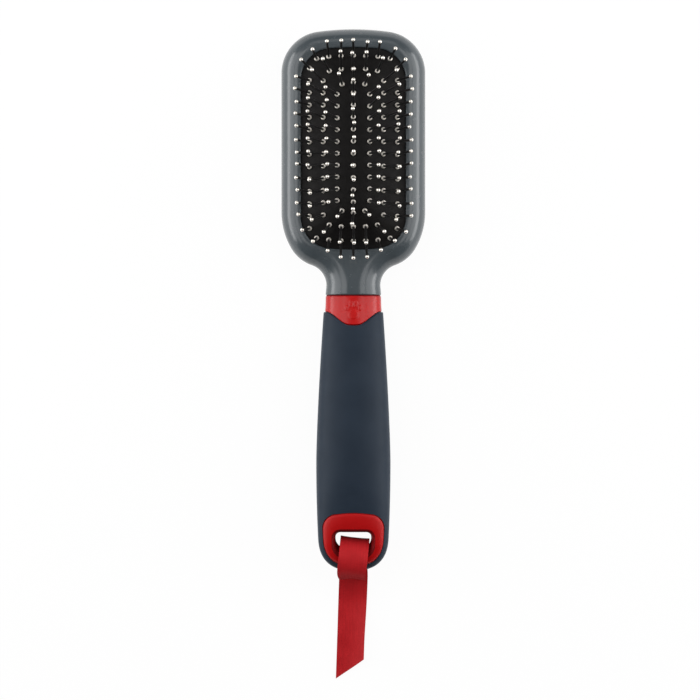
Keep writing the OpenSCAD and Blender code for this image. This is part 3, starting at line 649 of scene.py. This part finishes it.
def build_collar():
    start = NECK_END + FIT_GAP
    wall = start + SLOT_W
    slot_depth = mix(SIDE_DIP, SLOT_DEPTH, FACING)
    rings = [section(start, collar_size(start, -COLLAR_UNDER))]
    rings += [sunk_ring(section(d, collar_size(d)), collar_size(d), slot_depth) for d in (start, wall)]
    rings.append(section(wall, collar_size(wall, -SEAM_R)))
    for a in SEAM_TURNS[-2::-1]:
        d = wall + SEAM_R * (1 - math.sin(a))
        rings.append(section(d, collar_size(d, -SEAM_R * (1 - math.cos(a)))))
    for d in np.linspace(wall + SEAM_R, COLLAR_END, COLLAR_ROWS)[1:]:
        size = collar_size(d)
        ring = section(d, size)
        dip = mix(SIDE_DIP, DIP, FACING) * (1 - ease(GRIP_START + tongue_rise(ring[:, 0]) - d, 0, DIP_L))
        ring[:, 2] += relief(ring)
        rings.append(sunk_ring(ring, size, dip))
    rings.append(section(COLLAR_END, collar_size(COLLAR_END, -COLLAR_UNDER)))
    points, faces = band(rings)
    count = len(rings[0])
    faces += strip_cap(0, count) + strip_cap(len(points) - count, count)
    collar = piece("collar_shell", [(points, faces)], "brush", RED, ["collar"])
    # Faces in the seam slot and next to the grip's edge take the painted shade
    collar.data.materials.append(RED_PAINTED_SHADE)
    for face in collar.data.polygons:
        x, d = face.center.x / MM, -face.center.y / MM
        face.material_index = int(d < wall + FACE_MARGIN or d > GRIP_START + tongue_rise(x) - PAINTED_SHADE_L)


build_collar()

# Eyelet

HOLE_MID = HANDLE_END - BAR_L - HOLE_L / 2
HOLE_Z = float(handle_size(HOLE_MID)[1])
HOLE_STEPS, HOLE_SHARES = 24, np.linspace(0, 0.9, 10)
EYELET_SIDES, EYELET_ROWS, FLARE_ROWS = 240, 9, 14
EYELET_STEPS, EYELET_CORNER_STEPS, EYELET_END_STEPS = 12, 20, 60
EYELET_EDGE = (0.0, 0.05, 0.18, 0.4, 0.75, 1.2)
EYELET_BULGE, EYELET_UNDER = 0.15, 1.5
GROOVE_W, GROOVE_DEPTH, LEDGE = 0.3, 0.8, 0.6
FLARE_REACH = 0.92
TINY = 1e-6


def polar(outline, angles):
    """Distances from the hole's middle to a closed outline, at the given angles."""
    x, y = outline[:, 0], outline[:, 1] + HOLE_MID
    a = np.unwrap(np.arctan2(x, y))
    order = np.argsort(a)
    a, r = a[order], np.hypot(x, y)[order]
    a = np.concatenate([a - 2 * math.pi, a, a + 2 * math.pi])
    return np.interp(angles, a, np.tile(r, 3))


def eyelet_outline(grow):
    """Closed outline of the eyelet, which follows the handle's own."""
    margin, top, r = EYELET_MARGIN - grow, EYELET_AT - grow, EYELET_CORNER
    start = top + EYELET_ARCH + r
    half_w = float(handle_size(start, -margin)[0])
    corner = arc((half_w - r, -start), r, 90, 0, EYELET_CORNER_STEPS)[:, :2]
    straight = np.linspace(start, END_FROM, EYELET_STEPS)[1:]
    turns = np.radians(np.linspace(0, 90, EYELET_END_STEPS)[1:])
    run = np.concatenate([straight, END_FROM + (END_ROUND - margin) * np.sin(turns)])
    side = [[float(handle_size(d, -margin)[0]), -d] for d in run]
    upper = [[(half_w - r) * t, -top - EYELET_ARCH * t * t] for t in np.linspace(0, 1, EYELET_STEPS)[:-1]]
    half = np.vstack([upper, corner, side])
    return np.vstack([half, half[-2:0:-1] * [-1, 1]])


def hole_outline(grow):
    """Closed outline of the hole, grown outward from its throat to its flared mouth."""
    quarters = []
    for sx, sy, start in ((1, 1, 90), (1, -1, 0), (-1, -1, -90), (-1, 1, 180)):
        r = (HOLE_UPPER_R if sy > 0 else HOLE_LOWER_R) + grow
        drop = 0 if sy > 0 else SILL * grow / FLARE_W
        middle = (sx * (HOLE_W / 2 + grow - r), sy * (HOLE_L / 2 + grow - r) - drop - HOLE_MID)
        quarters.append(arc(middle, r, start, start - 90, HOLE_STEPS)[:, :2])
    corners = np.vstack(quarters)
    closed = np.vstack([corners, corners[:1]])
    return np.vstack([mix(a, b, t) for a, b in zip(closed[:-1], closed[1:]) for t in HOLE_SHARES])


def face_height(points, side, grow):
    """Height of the handle's front or back over points of the plan."""
    half_w, middle, half_t = handle_size(-points[:, 1], grow)
    t = np.clip(np.abs(points[:, 0]) / np.maximum(half_w, TINY), 0, 1)
    p = squareness(-points[:, 1])
    return middle + side * half_t * (1 - t**p) ** (1 / p)


MOUTH = hole_outline(FLARE_W)


def build_eyelet(name, side, node):
    angles = np.linspace(0, 2 * math.pi, EYELET_SIDES, endpoint=False)
    heading = np.column_stack([np.sin(angles), np.cos(angles)])

    def plan(r):
        return r[:, None] * heading + [0, -HOLE_MID]

    outer, mouth = polar(eyelet_outline(0), angles), polar(MOUTH, angles)
    rows = []
    for e in (*EYELET_EDGE, *np.linspace(0, 1, EYELET_ROWS)[1:]):
        on_edge = len(rows) < len(EYELET_EDGE)
        r = outer - e if on_edge else mix(outer - EYELET_EDGE[-1], mouth, e)
        p = plan(r)
        share = np.clip((outer - r) / (outer - mouth), 0, 1)
        rounding = np.sqrt(1 - (1 - np.clip((outer - r) / EYELET_EDGE[-1], 0, 1)) ** 2)
        rise = EYELET_PROUD * rounding + EYELET_BULGE * np.sin(math.pi * share)
        rows.append(np.column_stack([p, face_height(p, side, 0) + side * rise]))
    edge = rows[0]
    inner = edge - [0, 0, side * GROOVE_DEPTH]
    ledge = np.column_stack([plan(outer + LEDGE), inner[:, 2]])
    sunk = ledge - [0, 0, side * EYELET_UNDER]
    rows = [sunk, ledge, inner, *rows]
    rim = rows[-1]
    depth = np.minimum(FLARE_DEPTH, FLARE_REACH * np.abs(rim[:, 2] - HOLE_Z))
    for a in np.radians(np.linspace(90, 0, FLARE_ROWS)[1:]):
        p = plan(polar(hole_outline(FLARE_W * (1 - math.cos(a))), angles))
        rows.append(np.column_stack([p, rim[:, 2] - side * depth * (1 - math.sin(a))]))
    throat = rows[-1].copy()
    throat[:, 2] = HOLE_Z
    back = np.column_stack([sunk[:, :2], np.full(len(sunk), HOLE_Z)])
    ring = piece(name, [band([*rows, throat, back], wrap=True)], "brush", EYELET_RED, [node])
    # Faces inside the flared mouth, on the hole's inner wall, take the painted shade
    ring.data.materials.append(RED_PAINTED_SHADE)
    for face in ring.data.polygons:
        x, y = face.center.x / MM, face.center.y / MM + HOLE_MID
        mouth_r = polar(MOUTH, math.atan2(x, y))
        face.material_index = int(math.hypot(x, y) < mouth_r - FACE_MARGIN)


build_eyelet("eyelet_ring_front", 1, "eyelet_front")
build_eyelet("eyelet_ring_back", -1, "eyelet_back")

# Grip

GRIP_UNDER, EDGE_R = 1.5, 0.45
GRIP_ROWS, END_ROWS, END_TURN = 100, 32, 88.5
START_PASSES = 5
WINDOW_Z = (-5, 35)


def cut(obj, points, faces):
    """Takes a closed solid out of a piece."""
    cutter = solid("cutter", points, faces)
    modifier = obj.modifiers.new("window", "BOOLEAN")
    modifier.object, modifier.operation, modifier.solver = cutter, "DIFFERENCE", "EXACT"
    result = bpy.data.meshes.new_from_object(obj.evaluated_get(bpy.context.evaluated_depsgraph_get()))
    obj.modifiers.clear()
    obj.data = result
    bpy.data.objects.remove(cutter)
    shade(result)


def build_grip():
    start = np.full(SECTION_POINTS, GRIP_START, float)
    for _ in range(START_PASSES):
        start = GRIP_START + tongue_rise(handle_size(start)[0] * START_X)
    rings = [section(start, handle_size(start, -GRIP_UNDER))]
    for a in SEAM_TURNS[::-1]:
        d = start + EDGE_R * (1 - math.sin(a))
        rings.append(section(d, handle_size(d, -EDGE_R * (1 - math.cos(a)))))
    runs = [mix(start + EDGE_R, END_FROM, t) for t in np.linspace(0, 1, GRIP_ROWS)[1:]]
    runs += [END_FROM + END_ROUND * math.sin(a) for a in np.radians(np.linspace(0, END_TURN, END_ROWS)[1:])]
    rings += [section(d, handle_size(d)) for d in runs]
    points, faces = band(rings)
    count = len(rings[0])
    faces += strip_cap(0, count) + strip_cap(len(points) - count, count)
    grip = piece("grip_sleeve", [(points, faces)], "brush", SOFT_GRIP, ["grip"])
    outline = eyelet_outline(GROOVE_W)
    low, high = (np.column_stack([outline, np.full(len(outline), z)]) for z in WINDOW_Z)
    points, faces = band([low, high])
    cut(grip, points, faces + [tuple(range(len(low)))[::-1], tuple(range(len(low), 2 * len(low)))])


build_grip()

# Handle core, which keeps its own mesh

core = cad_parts["handle_core"].data
core.materials.clear()
core.materials.append(CORE_NYLON)

# Ribbon

RIBBON_T = 0.55
RIBBON_ROWS, RIBBON_ACROSS = 320, 16
LOOP_STEPS, TAIL_STEPS = 200, 60
LOOP_INSET, LAP_INSET = 0.35, 0.65
LOOP_AT = HANDLE_END + LOOP_OVER - LOOP_R
LOOP_MID_R = LOOP_R - LOOP_INSET
LAP_R = LOOP_MID_R - LAP_INSET
LAP_FROM, LEAVE_AT = -92, 278
LAP_EASE = (-75, -25)
LOOP_TURN = np.linspace(LAP_FROM, LEAVE_AT, LOOP_STEPS)
LOOP_YAW, CREASE_YAW, TAIL_YAW = np.radians([6, 2.4, 1.9])
CREASE_TURN = 60
PINCH, PINCH_NARROW = 28, 0.12
DISH_LOOP, DISH_TAIL, DISH_PINCH = 0.22, 0.1, 0.5
SWING_X, SWING, SWING_PINCH = -0.2, 0.95, 0.9
TAIL_Z, TAIL_FLAT, TAIL_TIP = 0.9, 190, 221.8
TAIL_X, TAIL_X_AT = 0.05, 178.5
TAIL_TWIST = math.radians(12)
TAIL_CURL_R, LEAST_CURL = 16, 0.01
# Height, length per radian and slant of each ripple of the tail
RIPPLES = ((0.1, 3.1, 0.12), (0.06, 1.7, -0.3))
TANGENT_STEP = 0.4


def ribbon_path():
    """Middle line of the ribbon as distance along the handle and height, from its sewn end to its tip."""
    a = np.radians(LOOP_TURN)
    r = mix(LAP_R, LOOP_MID_R, ease(np.degrees(a), *LAP_EASE))
    loop = np.column_stack([LOOP_AT + r * np.cos(a), HOLE_Z + r * np.sin(a)])
    leave, heading = loop[-1], loop[-1] - loop[-2]
    slope = heading[1] / heading[0]
    t = np.linspace(0, 1, TAIL_STEPS)[1:]
    run = TAIL_FLAT - leave[0]
    h00, h10 = 2 * t**3 - 3 * t**2 + 1, t**3 - 2 * t**2 + t
    fall = np.column_stack([leave[0] + run * t, h00 * leave[1] + h10 * slope * run + (1 - h00) * TAIL_Z])
    flat = np.linspace(TAIL_FLAT, TAIL_TIP, TAIL_STEPS)[1:]
    lie = np.column_stack([flat, np.full(len(flat), TAIL_Z)])
    return np.vstack([loop, fall, lie])


PATH = ribbon_path()
PATH_S = np.concatenate([[0], np.cumsum(np.hypot(*np.diff(PATH, axis=0).T))])
RIBBON_L = PATH_S[-1]
TAIL_S = PATH_S[LOOP_STEPS]
PATH_TURN = np.concatenate([LOOP_TURN, np.full(len(PATH) - LOOP_STEPS, LEAVE_AT)])
TAIL_BLEND, LYING_BLEND = (TAIL_S - 2, TAIL_S + 8), (TAIL_S + 6, TAIL_S + 36)


def on_ribbon(s, w, off):
    """Points of the ribbon at distances s along it and w across it, off its middle surface."""
    d, z = np.interp(s, PATH_S, PATH[:, 0]), np.interp(s, PATH_S, PATH[:, 1])
    before, after = np.clip(s - TANGENT_STEP, 0, RIBBON_L), np.clip(s + TANGENT_STEP, 0, RIBBON_L)
    td = np.interp(after, PATH_S, PATH[:, 0]) - np.interp(before, PATH_S, PATH[:, 0])
    tz = np.interp(after, PATH_S, PATH[:, 1]) - np.interp(before, PATH_S, PATH[:, 1])
    norm = np.hypot(td, tz)
    turn = np.interp(s, PATH_S, PATH_TURN)
    pinch = np.exp(-((turn / PINCH) ** 2))
    tail, lying = ease(s, *TAIL_BLEND), ease(s, *LYING_BLEND)
    u = w / (RIBBON_W / 2)
    off = off - u**2 * (mix(DISH_LOOP, DISH_TAIL, tail) + DISH_PINCH * pinch)
    ripple = lying * sum(height * np.sin(s / length + slant * w) for height, length, slant in RIPPLES)
    d, z = d - off * tz / norm, z + off * td / norm + ripple
    curl_r = TAIL_CURL_R / np.maximum(lying, LEAST_CURL)
    across, rise = curl_r * np.sin(w / curl_r), curl_r * (1 - np.cos(w / curl_r))
    twist = TAIL_TWIST * lying
    z = z + across * np.sin(twist) + rise * np.cos(twist)
    w = (across * np.cos(twist) - rise * np.sin(twist)) * (1 - PINCH_NARROW * pinch)
    yaw = mix(mix(LOOP_YAW, CREASE_YAW, 1 - ease(np.abs(turn), 0, CREASE_TURN)), TAIL_YAW, tail)
    swing = SWING_X - SWING * np.cos(np.radians(turn)) + SWING_PINCH * pinch
    middle = mix(swing, TAIL_X - (d - TAIL_X_AT) * math.tan(TAIL_YAW), tail)
    return np.column_stack([middle + w * np.cos(yaw), -d - w * np.sin(yaw), z])


def build_ribbon():
    across = np.linspace(-1, 1, RIBBON_ACROSS + 1)
    w = np.concatenate([across, across[::-1]]) * RIBBON_W / 2
    side = np.concatenate([np.ones(len(across)), -np.ones(len(across))]) * RIBBON_T / 2
    end = RIBBON_L - TAIL_SLANT * (w + RIBBON_W / 2) / RIBBON_W
    rows, marks = [], []
    for s in np.linspace(0, RIBBON_L, RIBBON_ROWS):
        t = max(0, (s - TAIL_S) / (RIBBON_L - TAIL_S))
        along = mix(TAIL_S, end, t) if t > 0 else np.full(len(w), s)
        rows.append(on_ribbon(along, w, side))
        marks.append(np.column_stack([w, along]))
    points, faces = band(rows)
    count = len(w)
    faces += strip_cap_open(0, count) + strip_cap_open(len(points) - count, count)
    ribbon = piece("ribbon_strip", [(points, faces)], "hanger", SATIN, ["ribbon"], sharp=50)
    marks = np.vstack(marks) * MM
    layer = ribbon.data.uv_layers.new(name="weave")
    for loop in ribbon.data.loops:
        layer.data[loop.index].uv = marks[loop.vertex_index]


build_ribbon()

# Sewn line where the ribbon's end meets its tail

STITCHES, STITCH_L, STITCH_S = 7, 1.1, 3.5
STITCH_ROWS, THREAD_SIDES = 9, 10
THREAD_R, THREAD_ARCH, THREAD_SINK, THREAD_THIN = 0.16, 1.2, 0.4, 0.35


def build_stitching():
    a = np.linspace(0, 2 * math.pi, THREAD_SIDES, endpoint=False)
    around = np.column_stack([np.zeros(THREAD_SIDES), np.cos(a), np.sin(a)])
    skins = []
    for i in range(STITCHES):
        w = RIBBON_W * ((i + 1) / (STITCHES + 1) - 0.5)
        rings = []
        for b in np.linspace(-1, 1, STITCH_ROWS):
            lift = RIBBON_T / 2 + THREAD_R * (THREAD_ARCH * math.cos(b * math.pi / 2) - THREAD_SINK)
            place = (np.array([v]) for v in (TAIL_S + STITCH_S, w + b * STITCH_L / 2, lift))
            rings.append(on_ribbon(*place)[0] + THREAD_R * (1 - THREAD_THIN * b**2) * around)
        points, faces = band(rings)
        last = len(points) - THREAD_SIDES
        caps = [tuple(range(THREAD_SIDES)), tuple(range(last, last + THREAD_SIDES))]
        skins.append((points, faces + caps))
    piece("ribbon_stitches", skins, "hanger", SEWING_THREAD, ["ribbon_stitching"])


build_stitching()

# Camera

VIEW_CENTRE = (-1.4, -83.5)
VIEW_W = 291.7
VIEW_PLANE = 10
CAMERA_UP = 1070
SENSOR = 36
FAR_CLIP = 100000

camera = bpy.data.objects.new("camera", bpy.data.cameras.new("camera"))
camera.location = Vector((*VIEW_CENTRE, VIEW_PLANE + CAMERA_UP)) * MM
camera.data.sensor_width = SENSOR
camera.data.lens = SENSOR * CAMERA_UP / VIEW_W
camera.data.clip_end = FAR_CLIP * MM
scene.collection.objects.link(camera)
scene.camera = camera

# Lights, in metres

AIM_Z = 0.01
# Lights on both sides: name, place beside, along and above the brush, width, height and watts
SIDE_LIGHTS = (
    ("low", 0.75, 0.12, 0.14, 0.96, 0.28, 4.3),
    ("mid", 0.62, 0.12, 0.46, 0.88, 0.42, 2.75),
    ("high", 0.34, 0.15, 0.78, 0.7, 0.34, 1.7),
)


def panel(name, place, across, tall, watts, aim_y):
    """Soft area light that faces the brush's middle line."""
    data = bpy.data.lights.new(name, "AREA")
    data.shape, data.size, data.size_y, data.energy = "RECTANGLE", across, tall, watts
    lamp = bpy.data.objects.new(name, data)
    lamp.location = place
    lamp.rotation_euler = (Vector((0, aim_y, AIM_Z)) - Vector(place)).to_track_quat("-Z", "Y").to_euler()
    scene.collection.objects.link(lamp)


for side_name, side_x in (("left", -1), ("right", 1)):
    for level, x, y, z, across, tall, watts in SIDE_LIGHTS:
        panel(f"softbox_{level}_{side_name}", (side_x * x, y, z), across, tall, watts, aim_y=y)
panel("softbox_far", (0.0, 0.9, 0.75), across=0.8, tall=0.4, watts=1.0, aim_y=0.0)

# Floor and surroundings, in metres

FLOOR_HALF, FLOOR_DROP = 30, 0.00005
FLOOR_COLOUR, FLOOR_ROUGH = (0.96, 0.96, 0.96, 1), 0.9
BACKDROP_SHARE, SKY_STRENGTH = 0.95, 0.05


def lit_backdrop(tree, shader, strength):
    """Mixes plain white into what the camera and mirrors see of the floor, which keeps its shadow."""
    nodes, links = tree.nodes, tree.links
    path, emit, blend = (nodes.new(f"ShaderNode{k}") for k in ("LightPath", "Emission", "MixShader"))
    emit.inputs["Color"].default_value = (1, 1, 1, 1)
    seen = path.outputs["Is Camera Ray"]
    for ray in ("Is Glossy Ray", "Is Transmission Ray"):
        total = nodes.new("ShaderNodeMath")
        links.new(seen, total.inputs[0])
        links.new(path.outputs[ray], total.inputs[1])
        seen = total.outputs["Value"]
    share = nodes.new("ShaderNodeMath")
    share.operation = "MULTIPLY"
    links.new(seen, share.inputs[0])
    share.inputs[1].default_value = strength
    links.new(share.outputs["Value"], blend.inputs["Fac"])
    links.new(shader, blend.inputs[1])
    links.new(emit.outputs["Emission"], blend.inputs[2])
    return blend.outputs["Shader"]


def build_floor():
    mesh = bpy.data.meshes.new("floor")
    corners = [(x * FLOOR_HALF, y * FLOOR_HALF, 0) for x, y in ((-1, -1), (1, -1), (1, 1), (-1, 1))]
    mesh.from_pydata(corners, [], [(0, 1, 2, 3)])
    s = Shader("floor_white", Base_Color=FLOOR_COLOUR, Roughness=FLOOR_ROUGH)
    surface = lit_backdrop(s.tree, s.bsdf.outputs["BSDF"], BACKDROP_SHARE)
    s.tree.links.new(surface, s.tree.nodes["Material Output"].inputs["Surface"])
    mesh.materials.append(s.material)
    floor = bpy.data.objects.new("floor", mesh)
    floor.location.z = -FLOOR_DROP
    scene.collection.objects.link(floor)


build_floor()
world = bpy.data.worlds.new("studio")
scene.world = world
world.use_nodes = True
sky = world.node_tree.nodes["Background"]
sky.inputs["Color"].default_value = (1, 1, 1, 1)
sky.inputs["Strength"].default_value = SKY_STRENGTH
scene.view_settings.view_transform = "Standard"
